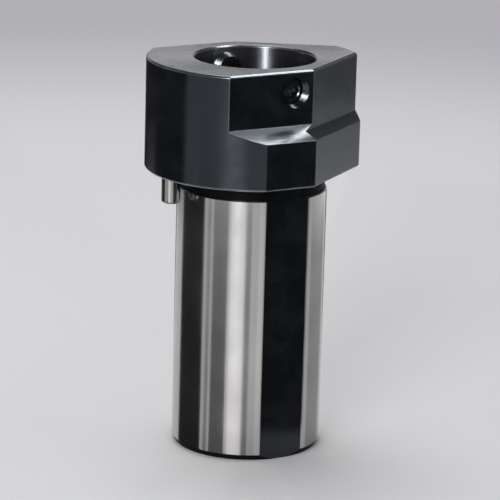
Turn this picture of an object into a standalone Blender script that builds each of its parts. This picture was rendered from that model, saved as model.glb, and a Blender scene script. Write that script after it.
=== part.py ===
"""Flanged adapter sleeve for round tool shanks, modelled at real size in metres, +Z up.

The sleeve stands on the end of its shank. Its axis is the Z axis and the end face lies at z = 0.
The clamping flat and the front set screw face -Y, and the index pin stands on the -X side.
"""

import math

import bmesh
import bpy
from mathutils import Matrix, Vector

MM = 0.001

# Bore for the tool's shank
BORE_RADIUS = 16.0 * MM
BORE_MOUTH_CHAMFER = 0.5 * MM
BORE_END_CHAMFER = 0.5 * MM

# Shank that seats in the holder
SHANK_WALL = 4.0 * MM
SHANK_LENGTH = 75.5 * MM
END_CHAMFER_LENGTH = 1.6 * MM
END_CHAMFER_INSET = 0.9 * MM
CLAMP_FLAT_DEPTH = 1.0 * MM

# Relief groove between the ground shank and the flange
NECK_LENGTH = 4.5 * MM
NECK_DEPTH = 0.6 * MM
NECK_FILLET = 0.5 * MM
SHANK_TOP_CHAMFER = 0.3 * MM

# Index pin, pressed into the back of the flange beside the shank
PIN_RADIUS = 2.5 * MM
PIN_SHANK_CLEARANCE = 1.9 * MM
PIN_REACH = 7.5 * MM
PIN_SEAT_DEPTH = 8.0 * MM
PIN_CHAMFER = 0.5 * MM

# Head: a flange beside the shank and a nose with deeper flats in front of it
FLANGE_THICKNESS = 12.5 * MM
NOSE_LENGTH = 17.5 * MM
RIM_BEYOND_PIN = 1.85 * MM
HEAD_CHAMFER = 0.5 * MM
SIDE_WALL = 5.2 * MM
SIDE_LEDGE_WIDTH = 5.4 * MM
CORNER_WALL = 4.5 * MM
CORNER_LEDGE_WIDTH = 3.4 * MM
CORNER_FLAT_TURN = math.radians(35.0)
LEDGE_SLOPE = math.radians(30.0)

# Socket set screws that clamp the tool, with flat points
SCREW_HOLE_RADIUS = 4.0 * MM
SCREW_EDGE_LAND = 1.6 * MM
SCREW_MOUTH_CHAMFER = 0.3 * MM
SCREW_LENGTH = 6.0 * MM
SCREW_RECESS = 2.0 * MM
SCREW_CHAMFER = 0.8 * MM
SOCKET_LAND = 0.6 * MM
SOCKET_DEPTH = 3.0 * MM
SOCKET_CONE_DEPTH = 0.8 * MM

# Gap between neighbouring pieces, and how far cutters reach past what they cut
FIT_GAP = 0.3 * MM
CUT_MARGIN = 2.0 * MM
CHAMFER_CUT_MARGIN = 0.5 * MM

BODY_SEGMENTS = 144
PIN_SEGMENTS = 32
SCREW_SEGMENTS = 48
FILLET_STEPS = 4

# Sizes that follow from the driving dimensions
SHANK_RADIUS = BORE_RADIUS + SHANK_WALL
SHANK_TOP = SHANK_LENGTH - NECK_LENGTH
NECK_RADIUS = SHANK_RADIUS - NECK_DEPTH
CLAMP_FLAT_DISTANCE = SHANK_RADIUS - CLAMP_FLAT_DEPTH
PIN_CIRCLE_RADIUS = SHANK_RADIUS + PIN_SHANK_CLEARANCE + PIN_RADIUS
HEAD_BACK = SHANK_LENGTH
LEDGE_HEIGHT = HEAD_BACK + FLANGE_THICKNESS
HEAD_FRONT = LEDGE_HEIGHT + NOSE_LENGTH
HEAD_RADIUS = PIN_CIRCLE_RADIUS + PIN_RADIUS + RIM_BEYOND_PIN
SIDE_FLAT_DISTANCE = BORE_RADIUS + SIDE_WALL
CORNER_FLAT_DISTANCE = BORE_RADIUS + CORNER_WALL
SCREW_HEIGHT = HEAD_FRONT - SCREW_HOLE_RADIUS - SCREW_EDGE_LAND
SCREW_RADIUS = SCREW_HOLE_RADIUS - FIT_GAP
SCREW_OUTER_END = SIDE_FLAT_DISTANCE - SCREW_RECESS
SOCKET_CORNER_RADIUS = SCREW_RADIUS - SCREW_CHAMFER - SOCKET_LAND
SOCKET_INNER_RADIUS = SOCKET_CORNER_RADIUS * math.cos(math.radians(30.0))

# Directions in the plan view, measured from +X
FRONT = math.radians(-90.0)
REAR = math.radians(90.0)
PIN_SIDE = math.radians(180.0)


def clear_scene():
    for old in list(bpy.data.objects):
        bpy.data.objects.remove(old, do_unlink=True)


def add_collection(name):
    collection = bpy.data.collections.new(name)
    bpy.context.scene.collection.children.link(collection)
    return collection


def metal(name, color, roughness):
    """A metal with one colour and one roughness."""
    material = bpy.data.materials.new(name)
    material.use_nodes = True
    shader = material.node_tree.nodes["Principled BSDF"]
    shader.inputs["Base Color"].default_value = (*color, 1.0)
    shader.inputs["Metallic"].default_value = 1.0
    shader.inputs["Roughness"].default_value = roughness
    return material


def mark_as_cutter(cutter):
    cutter.hide_render = True
    cutter.display_type = "WIRE"


def turned(name, outline, segments, collection):
    """Turn a closed outline of (radius, height) points about the Z axis.

    The outline runs down the outer side and back up the inner one. A point on the axis closes it.
    """
    mesh = bpy.data.meshes.new(name)
    points = [(radius, 0.0, height) for radius, height in outline]
    edges = [(i, i + 1) for i in range(len(points) - 1)]
    if outline[0][0] > 0.0:
        edges.append((len(points) - 1, 0))
    mesh.from_pydata(points, edges, [])
    body = bpy.data.objects.new(name, mesh)
    collection.objects.link(body)
    screw = body.modifiers.new("turn", "SCREW")
    screw.axis = "Z"
    screw.angle = math.tau
    screw.steps = segments
    screw.render_steps = segments
    screw.use_merge_vertices = True
    screw.merge_threshold = 0.00001
    return body


def cylinder_cutter(name, radius, start, end, segments, collection):
    """A round cutter from one point to another."""
    axis = Vector(end) - Vector(start)
    mesh = bpy.data.meshes.new(name)
    shape = bmesh.new()
    bmesh.ops.create_cone(
        shape,
        cap_ends=True,
        segments=segments,
        radius1=radius,
        radius2=radius,
        depth=axis.length,
    )
    shape.to_mesh(mesh)
    shape.free()
    cutter = bpy.data.objects.new(name, mesh)
    collection.objects.link(cutter)
    turn = axis.to_track_quat("Z", "Y").to_matrix().to_4x4()
    cutter.matrix_world = Matrix.Translation((Vector(start) + Vector(end)) / 2) @ turn
    mark_as_cutter(cutter)
    return cutter


def side_cutter(name, outline, direction, width, collection):
    """A straight cutter whose (distance from the axis, height) outline faces a plan direction."""
    curve = bpy.data.curves.new(name, "CURVE")
    curve.dimensions = "2D"
    curve.fill_mode = "BOTH"
    curve.extrude = width / 2
    spline = curve.splines.new("POLY")
    spline.points.add(len(outline) - 1)
    for point, (distance, height) in zip(spline.points, outline):
        point.co = (distance, height, 0.0, 1.0)
    spline.use_cyclic_u = True
    drawn = bpy.data.objects.new(name + "_outline", curve)
    collection.objects.link(drawn)
    upright = Matrix.Rotation(math.radians(90.0), 4, "X")
    drawn.matrix_world = Matrix.Rotation(direction, 4, "Z") @ upright
    bpy.context.view_layer.update()

    evaluated = drawn.evaluated_get(bpy.context.evaluated_depsgraph_get())
    mesh = bpy.data.meshes.new_from_object(evaluated)
    mesh.name = name
    shape = bmesh.new()
    shape.from_mesh(mesh)
    bmesh.ops.remove_doubles(shape, verts=shape.verts, dist=0.00001)
    bmesh.ops.recalc_face_normals(shape, faces=shape.faces)
    shape.to_mesh(mesh)
    shape.free()
    cutter = bpy.data.objects.new(name, mesh)
    collection.objects.link(cutter)
    cutter.matrix_world = drawn.matrix_world
    bpy.data.objects.remove(drawn, do_unlink=True)
    mark_as_cutter(cutter)
    return cutter


def cut(body, cutters):
    for cutter in cutters:
        boolean = body.modifiers.new("cut_" + cutter.name, "BOOLEAN")
        boolean.operation = "DIFFERENCE"
        boolean.solver = "EXACT"
        boolean.object = cutter


def finish(body, material, sharp_angle):
    """Bake the modifiers, shade the round faces smooth and keep the edges crisp."""
    bpy.context.view_layer.update()
    evaluated = body.evaluated_get(bpy.context.evaluated_depsgraph_get())
    mesh = bpy.data.meshes.new_from_object(evaluated)
    mesh.name = body.name
    body.modifiers.clear()
    body.data = mesh
    mesh.materials.clear()
    mesh.materials.append(material)
    mesh.shade_smooth()
    mesh.set_sharp_from_angle(angle=sharp_angle)


def polar(radius, direction, height):
    return (radius * math.cos(direction), radius * math.sin(direction), height)


def neck_fillet():
    """Points of the quarter round where the relief groove meets the back of the head."""
    center = (NECK_RADIUS + NECK_FILLET, HEAD_BACK - NECK_FILLET)
    points = []
    for step in range(FILLET_STEPS + 1):
        angle = math.radians(90.0 + 90.0 * step / FILLET_STEPS)
        radius = center[0] + NECK_FILLET * math.cos(angle)
        height = center[1] + NECK_FILLET * math.sin(angle)
        points.append((radius, height))
    return points


def sleeve_outline():
    """Half section of the turned blank, from the front face down the outside and up the bore."""
    head = [
        (HEAD_RADIUS - HEAD_CHAMFER, HEAD_FRONT),
        (HEAD_RADIUS, HEAD_FRONT - HEAD_CHAMFER),
        (HEAD_RADIUS, HEAD_BACK + HEAD_CHAMFER),
        (HEAD_RADIUS - HEAD_CHAMFER, HEAD_BACK),
    ]
    shank = [
        (NECK_RADIUS, SHANK_TOP),
        (SHANK_RADIUS - SHANK_TOP_CHAMFER, SHANK_TOP),
        (SHANK_RADIUS, SHANK_TOP - SHANK_TOP_CHAMFER),
        (SHANK_RADIUS, END_CHAMFER_LENGTH),
        (SHANK_RADIUS - END_CHAMFER_INSET, 0.0),
    ]
    bore = [
        (BORE_RADIUS + BORE_END_CHAMFER, 0.0),
        (BORE_RADIUS, BORE_END_CHAMFER),
        (BORE_RADIUS, HEAD_FRONT - BORE_MOUTH_CHAMFER),
        (BORE_RADIUS + BORE_MOUTH_CHAMFER, HEAD_FRONT),
    ]
    return head + neck_fillet() + shank + bore


def head_flat_outline(flat_distance, ledge_width):
    """Section cut away for one flat: shallow beside the flange, a sloped ledge, then deep."""
    outside = HEAD_RADIUS + CUT_MARGIN
    below = HEAD_BACK - CHAMFER_CUT_MARGIN
    above = HEAD_FRONT + CHAMFER_CUT_MARGIN
    flange_distance = flat_distance + ledge_width
    chamfer_reach = HEAD_CHAMFER + CHAMFER_CUT_MARGIN
    return [
        (outside, below),
        (outside, above),
        (flat_distance - chamfer_reach, above),
        (flat_distance, HEAD_FRONT - HEAD_CHAMFER),
        (flat_distance, LEDGE_HEIGHT + ledge_width * math.tan(LEDGE_SLOPE)),
        (flange_distance, LEDGE_HEIGHT),
        (flange_distance, HEAD_BACK + HEAD_CHAMFER),
        (flange_distance - chamfer_reach, below),
    ]


def head_flat_cutters(collection):
    """Two side flats, front and rear, and two corner flats on the side away from the pin."""
    side = (SIDE_FLAT_DISTANCE, SIDE_LEDGE_WIDTH)
    corner = (CORNER_FLAT_DISTANCE, CORNER_LEDGE_WIDTH)
    flats = {
        "front_side_flat": (FRONT, side),
        "front_corner_flat": (FRONT + CORNER_FLAT_TURN, corner),
        "rear_corner_flat": (REAR - CORNER_FLAT_TURN, corner),
        "rear_side_flat": (REAR, side),
    }
    width = 2 * (HEAD_RADIUS + CUT_MARGIN)
    cutters = []
    for name, (direction, sizes) in flats.items():
        outline = head_flat_outline(*sizes)
        cutters.append(side_cutter(name, outline, direction, width, collection))
    return cutters


def clamp_flat_cutter(collection):
    """The long flat that the holder's clamping screws press on."""
    outside = SHANK_RADIUS + CUT_MARGIN
    top = HEAD_BACK - NECK_FILLET
    outline = [
        (CLAMP_FLAT_DISTANCE, -CUT_MARGIN),
        (outside, -CUT_MARGIN),
        (outside, top),
        (CLAMP_FLAT_DISTANCE, top),
    ]
    return side_cutter("clamp_flat", outline, FRONT, 2 * SHANK_RADIUS, collection)


def radial_frame(distance, direction, height):
    """A frame whose Z axis points out from the sleeve's axis, placed at a distance from it."""
    place = Matrix.Translation(polar(distance, direction, height))
    turn = Matrix.Rotation(direction, 4, "Z") @ Matrix.Rotation(math.radians(90.0), 4, "Y")
    return place @ turn


def screw_hole_cutter(name, direction, collection):
    """A radial hole from the side flat into the bore, with a small countersunk mouth."""
    wide = SCREW_HOLE_RADIUS + SCREW_MOUTH_CHAMFER
    inside = math.sqrt(BORE_RADIUS ** 2 - SCREW_HOLE_RADIUS ** 2) - CUT_MARGIN
    outline = [
        (0.0, CUT_MARGIN),
        (wide + CUT_MARGIN, CUT_MARGIN),
        (SCREW_HOLE_RADIUS, -SCREW_MOUTH_CHAMFER),
        (SCREW_HOLE_RADIUS, inside - SIDE_FLAT_DISTANCE),
        (0.0, inside - SIDE_FLAT_DISTANCE),
    ]
    hole = turned(name, outline, SCREW_SEGMENTS, collection)
    hole.matrix_world = radial_frame(SIDE_FLAT_DISTANCE, direction, SCREW_HEIGHT)
    mark_as_cutter(hole)
    return hole


def paint_ground_faces(body, material):
    """The whole sleeve is blackened, and grinding then bares the round of the shank."""
    body.data.materials.append(material)
    for face in body.data.polygons:
        beside_axis = math.hypot(face.center.x, face.center.y) > CLAMP_FLAT_DISTANCE
        upright = abs(face.normal.z) < 0.1
        below_neck = END_CHAMFER_LENGTH < face.center.z < SHANK_TOP
        if beside_axis and upright and below_neck:
            face.material_index = 1


def build_sleeve_body(parts, cutters):
    body = turned("sleeve_body", sleeve_outline(), BODY_SEGMENTS, parts)
    pin_hole = cylinder_cutter(
        "pin_hole",
        PIN_RADIUS + FIT_GAP,
        polar(PIN_CIRCLE_RADIUS, PIN_SIDE, HEAD_BACK - CUT_MARGIN),
        polar(PIN_CIRCLE_RADIUS, PIN_SIDE, HEAD_BACK + PIN_SEAT_DEPTH + FIT_GAP),
        PIN_SEGMENTS,
        cutters,
    )
    cut(body, head_flat_cutters(cutters))
    cut(body, [clamp_flat_cutter(cutters), pin_hole])
    front_hole = screw_hole_cutter("front_screw_hole", FRONT, cutters)
    rear_hole = screw_hole_cutter("rear_screw_hole", REAR, cutters)
    cut(body, [front_hole, rear_hole])
    finish(body, metal("blackened_steel", (0.022, 0.024, 0.028), 0.38), math.radians(25.0))
    paint_ground_faces(body, metal("ground_steel", (0.60, 0.59, 0.58), 0.22))


def build_index_pin(parts):
    """A straight dowel with chamfered ends, seated in the flange and standing out of its back."""
    top = HEAD_BACK + PIN_SEAT_DEPTH
    bottom = HEAD_BACK - PIN_REACH
    outline = [
        (0.0, top),
        (PIN_RADIUS - PIN_CHAMFER, top),
        (PIN_RADIUS, top - PIN_CHAMFER),
        (PIN_RADIUS, bottom + PIN_CHAMFER),
        (PIN_RADIUS - PIN_CHAMFER, bottom),
        (0.0, bottom),
    ]
    pin = turned("index_pin", outline, PIN_SEGMENTS, parts)
    pin.location = polar(PIN_CIRCLE_RADIUS, PIN_SIDE, 0.0)
    finish(pin, metal("hardened_steel", (0.42, 0.41, 0.40), 0.28), math.radians(30.0))


def build_set_screw(name, direction, parts, cutters):
    """A socket set screw in a side flat, its socket outwards and its flat point in the bore."""
    outline = [
        (0.0, 0.0),
        (SCREW_RADIUS - SCREW_CHAMFER, 0.0),
        (SCREW_RADIUS, -SCREW_CHAMFER),
        (SCREW_RADIUS, SCREW_CHAMFER - SCREW_LENGTH),
        (SCREW_RADIUS - SCREW_CHAMFER, -SCREW_LENGTH),
        (0.0, -SCREW_LENGTH),
    ]
    screw = turned(name, outline, SCREW_SEGMENTS, parts)
    screw.matrix_world = radial_frame(SCREW_OUTER_END, direction, SCREW_HEIGHT)

    socket = cylinder_cutter(
        name + "_socket",
        SOCKET_CORNER_RADIUS,
        polar(SCREW_OUTER_END + CUT_MARGIN, direction, SCREW_HEIGHT),
        polar(SCREW_OUTER_END - SOCKET_DEPTH, direction, SCREW_HEIGHT),
        6,
        cutters,
    )
    cone = turned(
        name + "_socket_cone",
        [
            (0.0, CUT_MARGIN - SOCKET_DEPTH),
            (SOCKET_INNER_RADIUS, CUT_MARGIN - SOCKET_DEPTH),
            (SOCKET_INNER_RADIUS, -SOCKET_DEPTH),
            (0.0, -SOCKET_DEPTH - SOCKET_CONE_DEPTH),
        ],
        SCREW_SEGMENTS,
        cutters,
    )
    cone.matrix_world = screw.matrix_world
    mark_as_cutter(cone)
    cut(screw, [socket, cone])
    finish(screw, metal(name + "_steel", (0.03, 0.031, 0.033), 0.35), math.radians(30.0))


def build_part():
    clear_scene()
    parts = add_collection("tool_adapter_sleeve")
    cutters = add_collection("cutters")
    build_sleeve_body(parts, cutters)
    build_index_pin(parts)
    build_set_screw("set_screw_front", FRONT, parts, cutters)
    build_set_screw("set_screw_rear", REAR, parts, cutters)


build_part()
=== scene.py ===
import math

import bmesh
import bpy
from mathutils import Matrix, Quaternion, Vector


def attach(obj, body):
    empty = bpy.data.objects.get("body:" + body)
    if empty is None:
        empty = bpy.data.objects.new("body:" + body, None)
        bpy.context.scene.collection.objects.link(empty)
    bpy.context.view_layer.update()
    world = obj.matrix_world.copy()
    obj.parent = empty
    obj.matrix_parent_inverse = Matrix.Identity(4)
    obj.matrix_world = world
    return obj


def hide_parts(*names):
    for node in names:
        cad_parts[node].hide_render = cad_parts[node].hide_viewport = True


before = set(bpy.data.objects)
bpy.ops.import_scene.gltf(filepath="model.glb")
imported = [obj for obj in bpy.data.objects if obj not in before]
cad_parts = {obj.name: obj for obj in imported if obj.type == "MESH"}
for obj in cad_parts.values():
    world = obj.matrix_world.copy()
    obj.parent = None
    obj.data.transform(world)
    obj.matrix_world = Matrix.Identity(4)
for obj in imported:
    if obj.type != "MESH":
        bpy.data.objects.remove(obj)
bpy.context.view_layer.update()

mm = 0.001
mergeDistance = 0.002 * mm  # corners closer than this become one
sameSpot = 0.01 * mm  # what a test takes as the same place
overcut = 1.0 * mm  # how far a cutter reaches past the face that it opens


# Small helpers for working in object and edit mode

def deselectAll():
    if bpy.context.object and bpy.context.object.mode != "OBJECT":
        bpy.ops.object.mode_set(mode="OBJECT")
    bpy.ops.object.select_all(action="DESELECT")


def makeActive(piece):
    deselectAll()
    piece.select_set(True)
    bpy.context.view_layer.objects.active = piece


def enterEdit(piece, mode="VERT"):
    makeActive(piece)
    bpy.ops.object.mode_set(mode="EDIT")
    bpy.ops.mesh.select_mode(type=mode)


def leaveEdit():
    bpy.ops.object.mode_set(mode="OBJECT")


def applyModifier(piece, modifier):
    makeActive(piece)
    bpy.ops.object.modifier_apply(modifier=modifier.name)


def place(piece, matrix):
    makeActive(piece)
    piece.matrix_world = matrix
    bpy.ops.object.transform_apply(location=True, rotation=True, scale=True)


def extrudeTo(start, end):
    step = Vector(end) - Vector(start)
    bpy.ops.mesh.extrude_region_move(TRANSFORM_OT_translate={"value": step})


# Draws an outline as by hand: a small circle merged to a point, extruded from corner to corner
def drawOutline(name, corners, closed=True, dotRadius=0.1 * mm):
    deselectAll()
    bpy.ops.mesh.primitive_circle_add(vertices=3, radius=dotRadius, location=corners[0])
    piece = bpy.context.object
    piece.name = piece.data.name = name
    bpy.ops.object.transform_apply(location=True, rotation=True, scale=True)
    enterEdit(piece)
    bpy.ops.mesh.select_all(action="SELECT")
    bpy.ops.mesh.merge(type="CENTER")
    for here, there in zip(corners, corners[1:]):
        extrudeTo(here, there)
    if closed:
        extrudeTo(corners[-1], corners[0])
        bpy.ops.mesh.select_all(action="SELECT")
        bpy.ops.mesh.remove_doubles(threshold=mergeDistance)
    return piece


# Turns an outline of (radius, height) corners about the Z axis, as on a lathe
def turnOutline(name, outline, sides):
    piece = drawOutline(name, [(radius, 0, height) for radius, height in outline])
    bpy.ops.mesh.select_all(action="SELECT")
    bpy.ops.mesh.spin(steps=sides, angle=math.tau, center=(0, 0, 0), axis=(0, 0, 1))
    cleanUp(piece)
    return piece


# A straight cutter from a (distance, height) outline that faces a direction in plan
def millCutter(name, outline, direction, width):
    corners = [(distance, -width / 2, height) for distance, height in outline]
    cutter = drawOutline(name, corners)
    bpy.ops.mesh.select_all(action="SELECT")
    bpy.ops.mesh.edge_face_add()
    bpy.ops.mesh.extrude_region_move(TRANSFORM_OT_translate={"value": (0, width, 0)})
    leaveEdit()
    cleanUp(cutter)
    place(cutter, Matrix.Rotation(direction, 4, "Z"))
    return cutter


def cutWith(piece, cutter, operation="DIFFERENCE"):
    boolean = piece.modifiers.new("cut", "BOOLEAN")
    boolean.operation = operation
    boolean.solver = "EXACT"
    boolean.object = cutter
    applyModifier(piece, boolean)
    bpy.data.objects.remove(cutter, do_unlink=True)


# Merges what lies together and turns all faces outwards
def cleanUp(piece):
    enterEdit(piece)
    bpy.ops.mesh.select_all(action="SELECT")
    bpy.ops.mesh.remove_doubles(threshold=mergeDistance)
    bpy.ops.mesh.delete_loose()
    bpy.ops.mesh.select_all(action="SELECT")
    bpy.ops.mesh.normals_make_consistent(inside=False)
    if bmesh.from_edit_mesh(piece.data).calc_volume(signed=True) < 0:
        bpy.ops.mesh.flip_normals()
    leaveEdit()


# Fills the small gaps that thread cuts can leave
def closeGaps(piece, sides=8):
    enterEdit(piece, "EDGE")
    bpy.ops.mesh.select_all(action="DESELECT")
    bpy.ops.mesh.select_non_manifold()
    bpy.ops.mesh.fill_holes(sides=sides)
    leaveEdit()


# Rounds each edge that turns by more than an angle, where the test allows it
def roundEdges(piece, width, segments, angle, allowed=lambda middle: True, finish=-1):
    enterEdit(piece, "EDGE")
    bpy.ops.mesh.select_all(action="DESELECT")
    mesh = bmesh.from_edit_mesh(piece.data)
    for edge in mesh.edges:
        middle = (edge.verts[0].co + edge.verts[1].co) / 2
        if edge.calc_face_angle(0) > math.radians(angle) and allowed(middle):
            edge.select_set(True)
    bmesh.update_edit_mesh(piece.data)
    bpy.ops.mesh.bevel(
        offset=width, offset_type="OFFSET", segments=segments, affect="EDGES", clamp_overlap=False,
        loop_slide=False, material=finish,
    )
    leaveEdit()


# Presses back onto a level what the rounding pushed past it
def flattenPast(piece, level, below):
    enterEdit(piece)
    bpy.ops.mesh.select_all(action="DESELECT")
    leaveEdit()
    for vertex in piece.data.vertices:
        vertex.select = vertex.co.z < level if below else vertex.co.z > level
    bpy.ops.object.mode_set(mode="EDIT")
    bpy.ops.transform.resize(value=(1, 1, 0), center_override=(0, 0, level))
    leaveEdit()


# Smooth shading that keeps sharp edges sharp and big flats flat beside their rounded edges
def smoothShade(piece, angle, flatWeight=60):
    makeActive(piece)
    bpy.ops.object.shade_smooth_by_angle(angle=math.radians(angle))
    weighted = piece.modifiers.new("flats", "WEIGHTED_NORMAL")
    weighted.keep_sharp = True
    weighted.weight = flatWeight
    applyModifier(piece, weighted)


# Shades what was turned as truly round, whatever cuts run through it
def shadeTurned(piece, radii, steepest=0.01):
    mesh = piece.data
    normals = [corner.vector.copy() for corner in mesh.corner_normals]
    for face in mesh.polygons:
        if abs(face.normal.z) > steepest:
            continue
        side = 1 if face.normal.xy.dot(face.center.xy) > 0 else -1
        middle = face.center.xy.length
        if min(abs(middle - radius) for radius in radii) > sameSpot:
            continue
        for corner in face.loop_indices:
            spot = mesh.vertices[mesh.loops[corner].vertex_index].co
            normals[corner] = Vector((spot.x, spot.y, 0)).normalized() * side
    mesh.normals_split_custom_set(normals)


# A matrix for what was made along Z, so that its Z points away from the sleeve's axis
def radialPlace(distance, direction, height):
    spot = Vector((math.cos(direction) * distance, math.sin(direction) * distance, height))
    turn = Matrix.Rotation(direction, 4, "Z") @ Matrix.Rotation(math.radians(90), 4, "Y")
    return Matrix.Translation(spot) @ turn


# A thread's outline in shares of its pitch, and the turns past its ends that are cut off again
thread = {
    "rootFlat": 0.08,
    "flank": 0.40,
    "crestFlat": 0.12,
    "turnsBelow": 2.3,
    "spareTurns": 4,
    "mergeDistance": 0.005 * mm,
    "cutPrecision": 0.0001 * mm,
}


# A threaded bar along Z, cut off square at both ends
def threadedBar(name, rootRadius, crestRadius, pitch, bottom, top, sides):
    start = bottom - thread["turnsBelow"] * pitch
    rootEnd = start + thread["rootFlat"] * pitch
    crestStart = rootEnd + thread["flank"] * pitch
    crestEnd = crestStart + thread["crestFlat"] * pitch
    profile = [
        (rootRadius, 0, start),
        (rootRadius, 0, rootEnd),
        (crestRadius, 0, crestStart),
        (crestRadius, 0, crestEnd),
        (rootRadius, 0, start + pitch),
    ]
    bar = drawOutline(name, profile, closed=False)
    leaveEdit()
    winding = bar.modifiers.new("thread", "SCREW")
    winding.axis = "Z"
    winding.angle = math.tau
    winding.screw_offset = pitch
    winding.iterations = math.ceil((top - bottom) / pitch) + thread["spareTurns"]
    winding.steps = winding.render_steps = sides
    winding.use_merge_vertices = True
    winding.merge_threshold = mergeDistance
    applyModifier(bar, winding)
    enterEdit(bar)
    bpy.ops.mesh.select_all(action="SELECT")
    bpy.ops.mesh.remove_doubles(threshold=thread["mergeDistance"])
    for height, upward in ((bottom, False), (top, True)):
        bpy.ops.mesh.select_all(action="SELECT")
        bpy.ops.mesh.bisect(
            plane_co=(0, 0, height), plane_no=(0, 0, 1), use_fill=True,
            clear_inner=not upward, clear_outer=upward, threshold=thread["cutPrecision"],
        )
    leaveEdit()
    cleanUp(bar)
    return bar


# Materials

def newMaterial(name):
    material = bpy.data.materials.new(name)
    material.use_nodes = True
    tree = material.node_tree
    return material, tree.nodes, tree.links, tree.nodes["Principled BSDF"]


def setColour(socket, value):
    socket.default_value = (*value, 1)


def setValues(node, values):
    for name, value in values.items():
        node.inputs[name].default_value = value


def addNode(nodes, kind, settings=None, values=None):
    node = nodes.new("ShaderNode" + kind)
    for name, value in (settings or {}).items():
        setattr(node, name, value)
    setValues(node, values or {})
    return node


def mathStep(nodes, links, operation, first, second):
    step = addNode(nodes, "Math", {"operation": operation})
    for socket, value in zip(step.inputs, (first, second)):
        if isinstance(value, (int, float)):
            socket.default_value = value
        else:
            links.new(value, socket)
    return step.outputs[0]


# Spreads a value's range, low to high, smoothly over another
def spread(nodes, links, value, low, high, toLow=0, toHigh=1):
    step = addNode(nodes, "MapRange", {"interpolation_type": "SMOOTHSTEP"}, {
        "From Min": low, "From Max": high, "To Min": toLow, "To Max": toHigh})
    links.new(value, step.inputs["Value"])
    return step.outputs["Result"]


def mixColours(nodes, links, share, first, second):
    mix = addNode(nodes, "Mix", {"data_type": "RGBA"})
    links.new(share, mix.inputs[0])
    setColour(mix.inputs[6], first)
    setColour(mix.inputs[7], second)
    return mix.outputs[2]


# Mixes two shaders into what a material or a world shows
def mixShaders(nodes, links, share, first, second, output):
    mix = addNode(nodes, "MixShader")
    links.new(share, mix.inputs[0])
    links.new(first, mix.inputs[1])
    links.new(second, mix.inputs[2])
    links.new(mix.outputs["Shader"], nodes[output].inputs["Surface"])


# 1 for what the camera sees, directly or in a reflection
def seenRays(nodes, links):
    path = addNode(nodes, "LightPath")
    return mathStep(nodes, links, "MAXIMUM", path.outputs["Is Camera Ray"], path.outputs["Is Glossy Ray"])


def newGroup(name, inputs, outputs):
    group = bpy.data.node_groups.new(name, "ShaderNodeTree")
    for label, kind, value in inputs:
        socket = group.interface.new_socket(label, in_out="INPUT", socket_type="NodeSocket" + kind)
        if value is not None:
            socket.default_value = value
    for label, kind in outputs:
        group.interface.new_socket(label, in_out="OUTPUT", socket_type="NodeSocket" + kind)
    entry = group.nodes.new("NodeGroupInput")
    result = group.nodes.new("NodeGroupOutput")
    return group, group.nodes, group.links, entry, result


# Fine parallel marks that a cutting tool or wheel leaves. The vector's X runs across the marks.
def makeToolMarks():
    group, nodes, links, entry, result = newGroup(
        "toolMarks",
        [("Vector", "Vector", None), ("Strength", "Float", 0.2), ("Depth", "Float", 0.00002)],
        [("Normal", "Vector"), ("Marks", "Float")],
    )
    fine = addNode(nodes, "TexNoise", None, {"Scale": 1.0, "Detail": 3.0, "Roughness": 0.6})
    broad = addNode(nodes, "TexNoise", None, {"Scale": 0.17, "Detail": 2.0, "Roughness": 0.5})
    for noise in (fine, broad):
        links.new(entry.outputs["Vector"], noise.inputs["Vector"])
    both = mathStep(nodes, links, "ADD", fine.outputs["Fac"], broad.outputs["Fac"])
    marks = mathStep(nodes, links, "MULTIPLY", both, 0.5)
    bump = addNode(nodes, "Bump")
    links.new(entry.outputs["Strength"], bump.inputs["Strength"])
    links.new(entry.outputs["Depth"], bump.inputs["Distance"])
    links.new(marks, bump.inputs["Height"])
    links.new(bump.outputs["Normal"], result.inputs["Normal"])
    links.new(marks, result.inputs["Marks"])
    return group


# The uneven tone of blackened steel: each noise, and the values between which it shows
oxide = {
    "cloud": {"Scale": 110.0, "Detail": 5.0, "Roughness": 0.62, "Distortion": 0.6},
    "cloudSpan": (0.36, 0.66),
    "grain": {"Scale": 1700.0, "Detail": 3.0, "Roughness": 0.6},
    "grainSpan": (0.42, 0.62),
}


def makeOxideTone():
    group, nodes, links, entry, result = newGroup(
        "oxideTone",
        [("Vector", "Vector", None)],
        [("Patches", "Float"), ("Specks", "Float")],
    )
    for noise, span, label in (("cloud", "cloudSpan", "Patches"), ("grain", "grainSpan", "Specks")):
        pattern = addNode(nodes, "TexNoise", None, oxide[noise])
        links.new(entry.outputs["Vector"], pattern.inputs["Vector"])
        tone = spread(nodes, links, pattern.outputs["Fac"], *oxide[span])
        links.new(tone, result.inputs[label])
    return group


toolMarks = makeToolMarks()
oxideTone = makeOxideTone()


# Runs the marks round the axis or, with the course "rings", in rings on a face
def marksVector(nodes, links, course, across, along):
    coordinates = addNode(nodes, "TexCoord").outputs["Object"]
    parts = addNode(nodes, "SeparateXYZ")
    links.new(coordinates, parts.inputs["Vector"])
    x, y, z = parts.outputs
    if course == "rings":
        flat = addNode(nodes, "VectorMath", {"operation": "MULTIPLY"})
        flat.inputs[1].default_value = (1, 1, 0)
        links.new(coordinates, flat.inputs[0])
        length = addNode(nodes, "VectorMath", {"operation": "LENGTH"})
        links.new(flat.outputs["Vector"], length.inputs[0])
        crossing = length.outputs["Value"]
    else:
        crossing = z
    joined = addNode(nodes, "CombineXYZ")
    links.new(mathStep(nodes, links, "MULTIPLY", crossing, across), joined.inputs["X"])
    links.new(mathStep(nodes, links, "MULTIPLY", x, along), joined.inputs["Y"])
    links.new(mathStep(nodes, links, "MULTIPLY", y, along), joined.inputs["Z"])
    return joined.outputs["Vector"], coordinates


def useGroup(nodes, group):
    node = nodes.new("ShaderNodeGroup")
    node.node_tree = group
    return node


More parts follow.
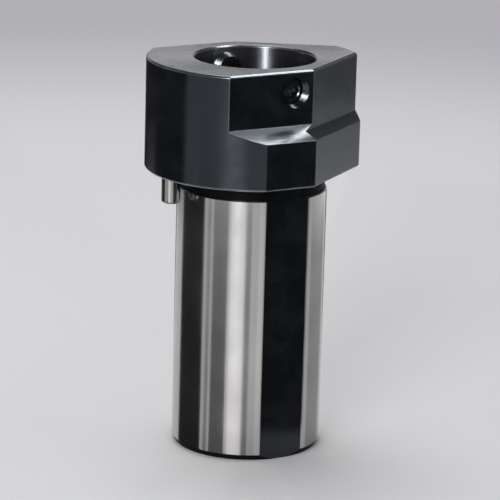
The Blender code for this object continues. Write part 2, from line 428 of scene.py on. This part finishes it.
# Presses a finish's marks into the normal. Gives what they add to the roughness, and the coordinates.
def addMarks(nodes, links, shader, finish):
    vector, coordinates = marksVector(nodes, links, finish["course"], finish["across"], finish["along"])
    marks = useGroup(nodes, toolMarks)
    setValues(marks, {"Strength": finish["strength"], "Depth": finish["depth"]})
    links.new(vector, marks.inputs["Vector"])
    links.new(marks.outputs["Normal"], shader.inputs["Normal"])
    return mathStep(nodes, links, "MULTIPLY", marks.outputs["Marks"], finish["lines"]), coordinates


# Stretches highlights across marks that run round the axis: the tangent, given a quarter turn
def stretchHighlights(nodes, links, shader, amount, turn=0.25):
    tangent = addNode(nodes, "Tangent", {"direction_type": "RADIAL", "axis": "Z"})
    links.new(tangent.outputs["Tangent"], shader.inputs["Tangent"])
    setValues(shader, {"Anisotropic": amount, "Anisotropic Rotation": turn})


# Blackened steel in one of the finishes that lie under the oxide
def makeBlack(name, finish):
    material, nodes, links, shader = newMaterial(name)
    lines, coordinates = addMarks(nodes, links, shader, finish)
    tone = useGroup(nodes, oxideTone)
    links.new(coordinates, tone.inputs["Vector"])
    patches = tone.outputs["Patches"]
    colour = mixColours(nodes, links, patches, finish["dark"], finish["light"])
    links.new(colour, shader.inputs["Base Color"])
    base = spread(nodes, links, patches, 0, 1, finish["smooth"], finish["rough"])
    grain = mathStep(nodes, links, "MULTIPLY", tone.outputs["Specks"], finish["specks"])
    total = mathStep(nodes, links, "ADD", mathStep(nodes, links, "ADD", base, grain), lines)
    links.new(total, shader.inputs["Roughness"])
    shader.inputs["IOR"].default_value = finish["ior"]
    setColour(shader.inputs["Specular Tint"], finish["tint"])
    if finish["streak"]:
        stretchHighlights(nodes, links, shader, finish["streak"])
    return material


# Faint smears on bare steel, and the noise values between which its tone and its gloss change
smears = {
    "noise": {"Scale": 70.0, "Detail": 4.0, "Roughness": 0.6},
    "toneSpan": (0.35, 0.65),
    "glossSpan": (0.35, 0.70),
}


# Bare ground steel, with marks of the wheel round the axis
def makeGround(name, finish):
    material, nodes, links, shader = newMaterial(name)
    lines, coordinates = addMarks(nodes, links, shader, finish)
    pattern = addNode(nodes, "TexNoise", None, smears["noise"])
    links.new(coordinates, pattern.inputs["Vector"])
    tone = spread(nodes, links, pattern.outputs["Fac"], *smears["toneSpan"])
    colour = mixColours(nodes, links, tone, finish["dark"], finish["light"])
    links.new(colour, shader.inputs["Base Color"])
    gloss = (*smears["glossSpan"], finish["smooth"], finish["rough"])
    base = spread(nodes, links, pattern.outputs["Fac"], *gloss)
    links.new(mathStep(nodes, links, "ADD", base, lines), shader.inputs["Roughness"])
    shader.inputs["Metallic"].default_value = 1.0
    stretchHighlights(nodes, links, shader, finish["streak"])
    return material


# How many marks lie in a metre across and along their course, how strong and how deep (in metres)
# they are, the oxide's darkest and lightest tone, its roughness where it is smooth and rough, and
# what specks and marks add to that
blackFinish = {
    "course": "round", "across": 9000, "along": 60, "strength": 0.12, "depth": 0.00002,
    "dark": (0.0034, 0.0040, 0.0052), "light": (0.0056, 0.0066, 0.0082),
    "smooth": 0.14, "rough": 0.20, "specks": 0.03, "lines": 0.06,
    "ior": 1.6, "tint": (0.80, 0.90, 1.0), "streak": 0.0,
}
groundFinish = {
    "course": "round", "across": 7000, "along": 45, "strength": 0.06, "depth": 0.00002, "lines": 0.05,
}
turnedBlack = makeBlack("turnedBlack", {**blackFinish, "smooth": 0.15, "streak": 0.6})
milledBlack = makeBlack("milledBlack", {
    **blackFinish, "across": 4000, "along": 240, "strength": 0.06, "smooth": 0.15,
    "light": (0.0075, 0.0082, 0.0094),
})
ledgeBlack = makeBlack("ledgeBlack", {
    **blackFinish, "across": 450, "along": 90, "strength": 0.7, "depth": 0.00016,
    "smooth": 0.13, "rough": 0.18, "specks": 0.015, "ior": 1.7,
})
facedBlack = makeBlack("facedBlack", {
    **blackFinish, "course": "rings", "smooth": 0.18, "rough": 0.24, "streak": 0.75,
})
# Oxide that reflects much less on the neck's groove and the foot's chamfer: painted shade under the head
# and at the floor
grooveBlackPaintedShade = makeBlack("grooveBlackPaintedShade", {**blackFinish, "smooth": 0.40, "rough": 0.46, "ior": 1.14})
# Lighter, more strongly reflecting oxide on the rounded edges and chamfers: partly real wear, partly a
# painted highlight along the edges
wornEdgeAndPaintedGlint = makeBlack("wornEdgeAndPaintedGlint", {
    **blackFinish, "dark": (0.012, 0.013, 0.015), "light": (0.050, 0.051, 0.053),
    "smooth": 0.20, "ior": 2.3,
})
# A light, strongly reflecting finish on the head's back chamfers: a painted highlight line along the
# head's bottom edge
backChamferPaintedHighlight = makeBlack("backChamferPaintedHighlight", {
    **blackFinish, "dark": (0.05, 0.05, 0.052), "light": (0.12, 0.12, 0.12), "smooth": 0.20, "ior": 3.6,
})
screwBlack = makeBlack("screwBlack", {
    **blackFinish, "dark": (0.0045, 0.0046, 0.005), "light": (0.009, 0.009, 0.0095),
    "smooth": 0.12, "ior": 1.8,
})
groundSteel = makeGround("groundSteel", {
    **groundFinish, "dark": (0.48, 0.47, 0.465), "light": (0.53, 0.522, 0.515),
    "smooth": 0.13, "rough": 0.17, "streak": 0.8,
})
# The bore's ground steel in a far darker colour than the shank's: painted shade inside the bore
boredSteelPaintedShade = makeGround("boredSteelPaintedShade", {
    **groundFinish, "dark": (0.14, 0.145, 0.16), "light": (0.19, 0.195, 0.21),
    "smooth": 0.25, "rough": 0.28, "streak": 0.95,
})
pinSteel = makeGround("pinSteel", {
    **groundFinish, "across": 9000, "along": 80, "dark": (0.40, 0.39, 0.375),
    "light": (0.47, 0.46, 0.445), "smooth": 0.17, "rough": 0.22, "streak": 0.5,
})
bodyFinishes = [
    turnedBlack, milledBlack, ledgeBlack, facedBlack, boredSteelPaintedShade, groundSteel, grooveBlackPaintedShade, wornEdgeAndPaintedGlint,
    backChamferPaintedHighlight,
]
print("finishes made")


# Directions in plan, seen from above
front = math.radians(-90)
rear = math.radians(90)
pinSide = math.radians(180)

sleeve = {
    "boreRadius": 16.0 * mm,
    "boreChamfer": 0.5 * mm,
    "shankRadius": 20.0 * mm,
    "shankTop": 71.0 * mm,
    "shankTopChamfer": 0.3 * mm,
    "endChamferLength": 1.6 * mm,
    "endChamferInset": 0.9 * mm,
    "clampFlatDistance": 19.0 * mm,
    "neckRadius": 19.4 * mm,
    "neckFillet": 0.5 * mm,
    "filletSteps": 6,
    "headBack": 75.5 * mm,
    "ledgeHeight": 88.0 * mm,
    "headFront": 105.5 * mm,
    "headRadius": 28.75 * mm,
    "headChamfer": 0.5 * mm,
    "sideFlat": 21.2 * mm,
    "sideLedge": 5.4 * mm,
    "cornerFlat": 20.5 * mm,
    "cornerLedge": 3.4 * mm,
    "cornerTurn": math.radians(35),
    "ledgeSlope": math.radians(30),
    "cutMargin": 2.0 * mm,
    "sides": 262,  # keeps the edges of the flats clear of the facets' borders
    "edgeRadius": 0.16 * mm,
    "edgeSegments": 3,
    "sharpAngle": 28,  # edges that turn by more degrees than this are rounded
    "smoothAngle": 16,  # less than the 17 degrees between two ledges, to keep their crease
}


# The half section that is turned, from the head's front edge round to the bore
def sleeveOutline():
    fillet = []
    for step in range(sleeve["filletSteps"] + 1):
        angle = math.radians(90 + 90 * step / sleeve["filletSteps"])
        radius = sleeve["neckRadius"] + sleeve["neckFillet"] * (1 + math.cos(angle))
        fillet.append((radius, sleeve["headBack"] - sleeve["neckFillet"] * (1 - math.sin(angle))))
    head = [
        (sleeve["headRadius"] - sleeve["headChamfer"], sleeve["headFront"]),
        (sleeve["headRadius"], sleeve["headFront"] - sleeve["headChamfer"]),
        (sleeve["headRadius"], sleeve["headBack"] + sleeve["headChamfer"]),
        (sleeve["headRadius"] - sleeve["headChamfer"], sleeve["headBack"]),
    ]
    shank = [
        (sleeve["neckRadius"], sleeve["shankTop"]),
        (sleeve["shankRadius"] - sleeve["shankTopChamfer"], sleeve["shankTop"]),
        (sleeve["shankRadius"], sleeve["shankTop"] - sleeve["shankTopChamfer"]),
        (sleeve["shankRadius"], sleeve["endChamferLength"]),
        (sleeve["shankRadius"] - sleeve["endChamferInset"], 0),
    ]
    bore = [
        (sleeve["boreRadius"] + sleeve["boreChamfer"], 0),
        (sleeve["boreRadius"], sleeve["boreChamfer"]),
        (sleeve["boreRadius"], sleeve["headFront"] - sleeve["boreChamfer"]),
        (sleeve["boreRadius"] + sleeve["boreChamfer"], sleeve["headFront"]),
    ]
    return head + fillet + shank + bore


# What is milled off the head at one flat: its upper flat, sloped ledge, lower flat and chamfers
def headFlatOutline(flat, ledge):
    outside = sleeve["headRadius"] + sleeve["cutMargin"]
    chamfer = sleeve["headChamfer"]
    rise = ledge * math.tan(sleeve["ledgeSlope"])
    return [
        (outside, sleeve["headBack"] - chamfer),
        (outside, sleeve["headFront"] + chamfer),
        (flat - 2 * chamfer, sleeve["headFront"] + chamfer),
        (flat, sleeve["headFront"] - chamfer),
        (flat, sleeve["ledgeHeight"] + rise),
        (flat + ledge, sleeve["ledgeHeight"]),
        (flat + ledge, sleeve["headBack"] + chamfer),
        (flat + ledge - 2 * chamfer, sleeve["headBack"] - chamfer),
    ]


def clampFlatOutline():
    outside = sleeve["shankRadius"] + sleeve["cutMargin"]
    top = sleeve["headBack"] - sleeve["neckFillet"]
    return [
        (sleeve["clampFlatDistance"], -sleeve["cutMargin"]), (outside, -sleeve["cutMargin"]),
        (outside, top), (sleeve["clampFlatDistance"], top),
    ]


# Leaves the neck's fillet and the thin end of the clamping flat as they were cut
def isRounded(spot, margin=1.0 * mm, thinEnd=0.5 * mm):
    onFlange = spot.z > sleeve["headBack"] - sameSpot and spot.xy.length > sleeve["shankRadius"] + margin
    offFlat = spot.y > thinEnd - sleeve["clampFlatDistance"]
    atEnd = spot.z < sleeve["endChamferLength"] + sameSpot and offFlat
    return onFlange or atEnd or spot.z > sleeve["headBack"] + margin


def makeSleeveBody():
    body = turnOutline("sleeveBody", sleeveOutline(), sleeve["sides"])
    wide = 2 * (sleeve["headRadius"] + sleeve["cutMargin"])
    side = headFlatOutline(sleeve["sideFlat"], sleeve["sideLedge"])
    corner = headFlatOutline(sleeve["cornerFlat"], sleeve["cornerLedge"])
    for outline, direction in (
        (side, front), (corner, front + sleeve["cornerTurn"]),
        (corner, rear - sleeve["cornerTurn"]), (side, rear),
    ):
        cutWith(body, millCutter("headFlat", outline, direction, wide))
    cutWith(body, millCutter("clampFlat", clampFlatOutline(), front, 2 * sleeve["shankRadius"]))
    cleanUp(body)
    print("sleeve body turned and milled:", len(body.data.polygons), "faces")
    for finish in bodyFinishes:
        body.data.materials.append(finish)
    # The rounded edges get the lighter edge finish: wear with a painted highlight
    roundEdges(
        body, sleeve["edgeRadius"], sleeve["edgeSegments"], sleeve["sharpAngle"],
        isRounded, bodyFinishes.index(wornEdgeAndPaintedGlint),
    )
    flattenPast(body, 0, below=True)
    flattenPast(body, sleeve["headFront"], below=False)
    print("edges rounded:", len(body.data.polygons), "faces")
    return body


screw = {
    "holeRadius": 4.0 * mm,
    "holeRoot": 3.42 * mm,
    "mouthRadius": 4.15 * mm,
    "edgeLand": 1.6 * mm,
    "tapRise": 0.4 * mm,
    "tapPast": 3.0 * mm,  # how far the tap runs on into the bore
    "recess": 2.0 * mm,
    "length": 6.0 * mm,
    "radius": 3.96 * mm,
    "root": 3.42 * mm,
    "pitch": 1.25 * mm,
    "chamfer": 0.8 * mm,
    "hexCorner": 2.3 * mm,
    "socketDepth": 3.0 * mm,
    "socketCone": 0.8 * mm,
    "drillMouth": 0.90,  # the drill's radii at the face and at the floor, as shares of hexCorner
    "drillFoot": 0.87,
    "leadWidth": 0.25 * mm,
    "leadDepth": 0.3 * mm,
    "leadRise": 0.5 * mm,
    "sides": 64,
    "smoothAngle": 30,
}
screwHeight = sleeve["headFront"] - screw["holeRadius"] - screw["edgeLand"]


def tapHole(body, direction):
    facePlace = radialPlace(sleeve["sideFlat"], direction, screwHeight)
    bottom = sleeve["boreRadius"] - screw["tapPast"] - sleeve["sideFlat"]
    tap = threadedBar(
        "tap", screw["holeRoot"], screw["holeRadius"], screw["pitch"], bottom, screw["tapRise"],
        screw["sides"])
    place(tap, facePlace)
    cutWith(body, tap)
    mouthDepth = screw["mouthRadius"] - screw["holeRoot"]
    mouth = turnOutline("mouth", [
        (0, overcut), (screw["mouthRadius"] + overcut, overcut),
        (screw["holeRoot"], -mouthDepth), (0, -mouthDepth),
    ], screw["sides"])
    place(mouth, facePlace)
    cutWith(body, mouth)


def makeSetScrew(name, direction):
    bottom = -screw["length"]
    end = screw["radius"] - screw["chamfer"]
    bar = threadedBar(
        name, screw["root"], screw["radius"], screw["pitch"], bottom - overcut, overcut, screw["sides"])
    envelope = turnOutline("envelope", [
        (0, 0), (end, 0), (screw["radius"], -screw["chamfer"]),
        (screw["radius"], bottom + screw["chamfer"]), (end, bottom), (0, bottom),
    ], screw["sides"])
    cutWith(bar, envelope, "INTERSECT")
    deselectAll()
    bpy.ops.mesh.primitive_cylinder_add(
        vertices=6, radius=screw["hexCorner"], depth=2 * screw["socketDepth"], location=(0, 0, 0))
    cutWith(bar, bpy.context.object)
    drill = turnOutline("drill", [
        (0, overcut), (screw["hexCorner"] * screw["drillMouth"], overcut),
        (screw["hexCorner"] * screw["drillFoot"], -screw["socketDepth"]),
        (0, -screw["socketDepth"] - screw["socketCone"]),
    ], screw["sides"])
    cutWith(bar, drill)
    leadRadius = screw["hexCorner"] + screw["leadWidth"]
    lead = turnOutline("lead", [
        (0, screw["leadRise"]), (leadRadius + screw["leadRise"], screw["leadRise"]),
        (leadRadius - screw["leadDepth"], -screw["leadDepth"]), (0, -screw["leadDepth"]),
    ], screw["sides"])
    cutWith(bar, lead)
    place(bar, radialPlace(sleeve["sideFlat"] - screw["recess"], direction, screwHeight))
    cleanUp(bar)
    smoothShade(bar, screw["smoothAngle"])
    bar.data.materials.append(screwBlack)
    return bar


pin = {
    "radius": 2.5 * mm,
    "circle": 24.4 * mm,
    "reach": 7.5 * mm,
    "seat": 8.0 * mm,
    "chamfer": 0.5 * mm,
    "crown": 0.25 * mm,
    "crownSteps": 4,
    "holeRadius": 2.53 * mm,
    "holeMouth": 0.25 * mm,
    "holeSpare": 0.3 * mm,
    "sides": 64,
    "edgeRadius": 0.08 * mm,
    "edgeSegments": 2,
    "sharpAngle": 30,
    "smoothAngle": 30,
}
pinPlace = Matrix.Translation((math.cos(pinSide) * pin["circle"], math.sin(pinSide) * pin["circle"], 0))


def drillPinHole(body):
    back = sleeve["headBack"]
    floor = back + pin["seat"] + pin["holeSpare"]
    hole = turnOutline("pinHole", [
        (0, floor), (pin["holeRadius"], floor), (pin["holeRadius"], back + pin["holeMouth"]),
        (pin["holeRadius"] + pin["holeMouth"] + overcut, back - overcut), (0, back - overcut),
    ], pin["sides"])
    place(hole, pinPlace)
    cutWith(body, hole)


def makeIndexPin():
    top = sleeve["headBack"] + pin["seat"]
    bottom = sleeve["headBack"] - pin["reach"]
    end = pin["radius"] - pin["chamfer"]
    crown = []
    for step in range(pin["crownSteps"] + 1):
        share = 1 - step / pin["crownSteps"]
        crown.append((end * share, bottom + pin["crown"] * share ** 2))
    dowel = turnOutline("indexPin", [
        (0, top), (end, top), (pin["radius"], top - pin["chamfer"]),
        (pin["radius"], bottom + pin["crown"] + pin["chamfer"]), *crown,
    ], pin["sides"])
    place(dowel, pinPlace)
    roundEdges(dowel, pin["edgeRadius"], pin["edgeSegments"], pin["sharpAngle"])
    smoothShade(dowel, pin["smoothAngle"])
    dowel.data.materials.append(pinSteel)
    return dowel


# Tests that tell the body's faces apart, in parts of a face's normal, degrees and lengths
faceTests = {
    "chamferSlope": (0.3, 0.9),
    "level": 0.95,
    "inward": -0.5,
    "upright": 0.9,
    "sloped": 0.4,
    "forward": -0.99,
    "facingSpan": 0.1,
    "clear": 0.05 * mm,
}


# Picks the finish of the tool that made a face of the body
def pickFinish(face):
    centre, normal = face.center, face.normal
    fromAxis = math.hypot(centre.x, centre.y)
    outward = (normal.x * centre.x + normal.y * centre.y) / max(fromAxis, sameSpot)
    straight = math.hypot(normal.x, normal.y)
    onHead = centre.z > sleeve["headBack"] + faceTests["clear"]

    facing = abs(math.degrees(math.atan2(normal.y, normal.x)))
    cornerFacing = 90 - math.degrees(sleeve["cornerTurn"])
    toFlat = onHead and min(abs(facing - 90), abs(facing - cornerFacing)) < faceTests["facingSpan"]
    fromClampFlat = abs(centre.y + sleeve["clampFlatDistance"])
    onClampFlat = normal.y < faceTests["forward"] and fromClampFlat < faceTests["clear"]

    gentlest, steepest = faceTests["chamferSlope"]
    fromEnd = min(sleeve["headFront"] - centre.z, centre.z - sleeve["headBack"])
    atEnd = -sameSpot < fromEnd < sleeve["headChamfer"]
    chamfer = gentlest < abs(normal.z) < steepest and atEnd and outward > 0
    wornOrPaintedGlint = onHead and face.material_index == bodyFinishes.index(wornEdgeAndPaintedGlint)

    fromScrew = math.hypot(centre.x, centre.z - screwHeight)
    outsideBore = fromAxis > sleeve["boreRadius"] + faceTests["clear"]
    if fromScrew < screw["mouthRadius"] and outsideBore and not toFlat:
        return milledBlack
    # Back chamfers of the head: painted highlight line
    if chamfer and centre.z < sleeve["headBack"] + sleeve["headChamfer"]:
        return backChamferPaintedHighlight
    # Chamfers and rounded edges on the head: wear with a painted highlight
    if chamfer or wornOrPaintedGlint:
        return wornEdgeAndPaintedGlint
    if abs(normal.z) > faceTests["level"]:
        return facedBlack
    # The bore's faces get the darkened steel: painted shade
    if outward < faceTests["inward"] and fromAxis < sleeve["boreRadius"] + sleeve["boreChamfer"]:
        return boredSteelPaintedShade
    if (toFlat and straight > faceTests["upright"]) or onClampFlat:
        return milledBlack
    if toFlat and straight > faceTests["sloped"]:
        return ledgeBlack
    # Neck groove and foot chamfer: the duller oxide, painted shade
    if sleeve["shankTop"] < centre.z < sleeve["headBack"] or centre.z < sleeve["endChamferLength"]:
        return grooveBlackPaintedShade
    return turnedBlack if onHead else groundSteel


body = makeSleeveBody()
for direction in (front, rear):
    tapHole(body, direction)
drillPinHole(body)
cleanUp(body)
closeGaps(body)
print("holes made:", len(body.data.polygons), "faces")
frontScrew = makeSetScrew("setScrewFront", front)
rearScrew = makeSetScrew("setScrewRear", rear)
dowel = makeIndexPin()
print("screws and pin made")

for face in body.data.polygons:
    face.material_index = bodyFinishes.index(pickFinish(face))
smoothShade(body, sleeve["smoothAngle"])
shadeTurned(body, [sleeve[size] for size in ("headRadius", "shankRadius", "boreRadius", "neckRadius")])
print("finishes given to the body's faces")

for piece, node, slot in (
    (body, "sleeve_body", "blackened_steel"),
    (dowel, "index_pin", "hardened_pin_steel"),
    (frontScrew, "set_screw_front", "screw_steel"),
    (rearScrew, "set_screw_rear", "screw_steel"),
):
    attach(piece, "root")
    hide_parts(node)


# Camera, floor and light

view = {
    "distance": 766.5 * mm,
    "height": 253.9 * mm,
    "turn": math.radians(-119.8),
    "aim": (0, 0, 52.75 * mm),
    "roll": math.radians(1.6),
    "lens": 213.0,
    "nearest": 10 * mm,
}

# Directions for the studio, from the sleeve towards the camera and to the picture's right
toCamera = Vector((math.cos(view["turn"]), math.sin(view["turn"]), 0))
toRight = Vector((-toCamera.y, toCamera.x, 0))


# A direction in plan, turned to the right from the camera's
def turnedFromCamera(angle):
    return toCamera * math.cos(angle) + toRight * math.sin(angle)


# A place in the studio, in metres towards the camera, to the right and up
def studioPlace(spot):
    return toCamera * spot[0] + toRight * spot[1] + Vector((0, 0, spot[2]))


def makeCamera():
    data = bpy.data.cameras.new("camera")
    data.lens = view["lens"]
    data.clip_start = view["nearest"]
    camera = bpy.data.objects.new("camera", data)
    bpy.context.scene.collection.objects.link(camera)
    camera.location = studioPlace((view["distance"], 0, view["height"]))
    aim = (Vector(view["aim"]) - camera.location).to_track_quat("-Z", "Y")
    camera.rotation_mode = "QUATERNION"
    camera.rotation_quaternion = aim @ Quaternion((0, 0, 1), view["roll"])
    bpy.context.scene.camera = camera


studio = {
    "floorColour": (0.64, 0.64, 0.655),
    "floorFinish": {"Roughness": 0.75, "Specular IOR Level": 0.2},
    "floorRadius": 4.0,
    "floorSides": 128,
    "nearFloor": 0.36,  # from here to farFloor, in metres, the floor fades into the wall's colour
    "farFloor": 0.66,
    "wallColour": (0.44, 0.43, 0.455),
    "ceilingColour": (0.07, 0.07, 0.075),
    "wallTop": 0.24,  # up to ceilingEdge, as rises of the view, the wall fades into the ceiling
    "ceilingEdge": 0.42,
    "ambient": 0.52,
    "lampAim": (0, 0, 50 * mm),
}


def makeFloor():
    deselectAll()
    bpy.ops.mesh.primitive_circle_add(
        vertices=studio["floorSides"], radius=studio["floorRadius"], fill_type="NGON")
    floor = bpy.context.object
    floor.name = "floor"
    material, nodes, links, shader = newMaterial("paleFloor")
    setColour(shader.inputs["Base Color"], studio["floorColour"])
    setValues(shader, studio["floorFinish"])
    length = addNode(nodes, "VectorMath", {"operation": "LENGTH"})
    links.new(addNode(nodes, "TexCoord").outputs["Object"], length.inputs[0])
    far = spread(nodes, links, length.outputs["Value"], studio["nearFloor"], studio["farFloor"])
    glow = addNode(nodes, "Emission")
    setColour(glow.inputs["Color"], studio["wallColour"])
    share = mathStep(nodes, links, "MULTIPLY", far, seenRays(nodes, links))
    mixShaders(nodes, links, share, shader.outputs["BSDF"], glow.outputs["Emission"], "Material Output")
    floor.data.materials.append(material)


# Plain white light on the sleeve, while the camera and reflections see a wall and a dark ceiling
def makeWorld():
    world = bpy.data.worlds.new("studioWorld")
    bpy.context.scene.world = world
    world.use_nodes = True
    nodes, links = world.node_tree.nodes, world.node_tree.links
    fill = nodes["Background"]
    setColour(fill.inputs["Color"], (1, 1, 1))
    fill.inputs["Strength"].default_value = studio["ambient"]
    height = addNode(nodes, "SeparateXYZ")
    links.new(addNode(nodes, "TexCoord").outputs["Generated"], height.inputs["Vector"])
    above = spread(nodes, links, height.outputs["Z"], studio["wallTop"], studio["ceilingEdge"])
    wall = addNode(nodes, "Background")
    colour = mixColours(nodes, links, above, studio["wallColour"], studio["ceilingColour"])
    links.new(colour, wall.inputs["Color"])
    shown = seenRays(nodes, links)
    mixShaders(
        nodes, links, shown, fill.outputs["Background"], wall.outputs["Background"], "World Output")


# Softboxes: place as (towards the camera, to the right, height), size across and deep, and power
softboxes = {
    "overheadBox": ((-0.30, -0.12, 0.95), (0.45, 0.60), 4.0),
    "keyBox": ((0.80, -0.28, 0.50), (0.40, 0.40), 3.4),
    "rearBox": ((-1.10, -0.10, 0.50), (0.55, 0.40), 0.5),
}


def makeSoftbox(name, spot, size, power):
    data = bpy.data.lights.new(name, "AREA")
    data.shape = "RECTANGLE"
    data.size, data.size_y = size
    data.energy = power
    lamp = bpy.data.objects.new(name, data)
    bpy.context.scene.collection.objects.link(lamp)
    lamp.location = studioPlace(spot)
    lamp.rotation_mode = "QUATERNION"
    lamp.rotation_quaternion = (Vector(studio["lampAim"]) - lamp.location).to_track_quat("-Z", "Y")


cardFinish = {"Roughness": 0.9, "Specular IOR Level": 0}


# A flat card that shows only in reflections, as a studio flags shiny metal
def makeCard(name, corners, grey, glow):
    card = drawOutline(name, corners)
    bpy.ops.mesh.select_all(action="SELECT")
    bpy.ops.mesh.edge_face_add()
    leaveEdit()
    material, nodes, links, shader = newMaterial(name)
    setColour(shader.inputs["Base Color"], (grey,) * 3)
    setColour(shader.inputs["Emission Color"], (1, 1, 1))
    shader.inputs["Emission Strength"].default_value = glow
    setValues(shader, cardFinish)
    card.data.materials.append(material)
    card.visible_camera = False
    card.visible_diffuse = False
    card.visible_shadow = False


# How far from the shank the strips on the floor start and end
stripEnds = {
    "foot": 1 * mm,
    "flatFoot": 27 * mm,
    "cornerNear": 285 * mm,
    "shankReach": 300 * mm,
    "cornerFar": 345 * mm,
    "horizon": 3000 * mm,
}
stripLift = 0.2 * mm

# Cards laid on the floor. Each is placed by where its picture lies across the shank, from -1 at the
# left to 1 at the right, as the camera sees it or, with side -1, as seen from behind. It runs from
# the shank's foot to the horizon where nothing else is said.
strips = {
    "edgeFlag": {"across": (-0.90, -0.61), "grey": 0.02},
    "headFlag": {"across": (-0.995, -0.90), "grey": 0.02, "near": "shankReach"},
    "softFlag": {"across": (-0.57, -0.52), "grey": 0.30, "far": "shankReach"},
    "nearFlag": {"across": (-0.49, -0.29), "grey": 0.14, "far": "shankReach"},
    "whiteStrip": {"across": (-0.25, -0.07), "grey": 0.7, "glow": 0.42, "far": "shankReach"},
    "dipFlag": {"across": (-0.05, 0.02), "grey": 0.30, "far": "shankReach"},
    "lineStrip": {"across": (0.12, 0.19), "grey": 0.7, "glow": 0.15, "far": "shankReach"},
    "flatFlag": {"across": (0.20, 0.765), "grey": 0.03, "near": "flatFoot"},
    "rearFlag": {"across": (0.81, 0.97), "grey": 0.36, "far": "cornerNear"},
    "cornerStrip": {
        "across": (0.80, 0.98), "grey": 0.64, "glow": 0.4, "near": "cornerNear", "far": "cornerFar",
    },
    "backFlag": {"across": (-0.20, -0.09), "grey": 0.04, "far": "shankReach", "side": -1},
    "backStrip": {"across": (-0.06, 0.05), "grey": 0.7, "glow": 0.35, "far": "shankReach", "side": -1},
    "backSoft": {"across": (0.11, 0.20), "grey": 0.12, "far": "shankReach", "side": -1},
}


# Where a strip's edge runs: from the shank along the direction in which that place mirrors the view
def stripEdge(share, near, far, side):
    behind = math.pi if side < 0 else 0
    start = turnedFromCamera(math.asin(share) + behind) * sleeve["shankRadius"]
    run = turnedFromCamera(2 * math.asin(share) + behind)
    return start + run * near, start + run * far


def makeStrip(name):
    strip = strips[name]
    near = stripEnds[strip.get("near", "foot")]
    far = stripEnds[strip.get("far", "horizon")]
    edges = [stripEdge(share, near, far, strip.get("side", 1)) for share in strip["across"]]
    (nearLeft, farLeft), (nearRight, farRight) = edges
    corners = [(*spot.xy, stripLift) for spot in (nearLeft, farLeft, farRight, nearRight)]
    makeCard(name, corners, strip["grey"], strip.get("glow", 0.0))


# The upright card that darkens the head's front corner flat
cornerCard = {
    "distance": 170 * mm,
    "turn": math.radians(129.6),
    "halfWidth": 60 * mm,
    "bottom": 60 * mm,
    "top": 320 * mm,
    "grey": 0.26,
}


def makeCornerCard():
    away = turnedFromCamera(cornerCard["turn"])
    sideways = Vector((-away.y, away.x, 0)) * cornerCard["halfWidth"]
    corners = []
    for half, height in ((-1, "bottom"), (1, "bottom"), (1, "top"), (-1, "top")):
        spot = away * cornerCard["distance"] + sideways * half
        corners.append((spot.x, spot.y, cornerCard[height]))
    makeCard("cornerCard", corners, cornerCard["grey"], 0.0)


# Bright cards that face the sleeve: place as for the softboxes, size across and deep, and glow
glowCards = {
    "boreCard": ((0.80, -0.28, 0.36), (0.09, 0.24), 90.0),
    "ledgeCard": ((-0.37, 0.29, 0.86), (0.26, 0.26), 14.0),
    "rimCard": ((-0.02, 0.50, 0.85), (0.25, 0.25), 8.0),
}
glowCardGrey = 0.8


def makeGlowCard(name, spot, size, glow):
    middle = studioPlace(spot)
    turn = (-middle).to_track_quat("-Z", "Y")
    corners = []
    for across, deep in ((-0.5, -0.5), (0.5, -0.5), (0.5, 0.5), (-0.5, 0.5)):
        corners.append(tuple(middle + turn @ Vector((across * size[0], deep * size[1], 0))))
    makeCard(name, corners, glowCardGrey, glow)


makeCamera()
makeFloor()
makeWorld()
for name, (spot, size, power) in softboxes.items():
    makeSoftbox(name, spot, size, power)
for name in strips:
    makeStrip(name)
makeCornerCard()
for name, (spot, size, glow) in glowCards.items():
    makeGlowCard(name, spot, size, glow)
bpy.context.scene.view_settings.view_transform = "Standard"
print("studio ready")
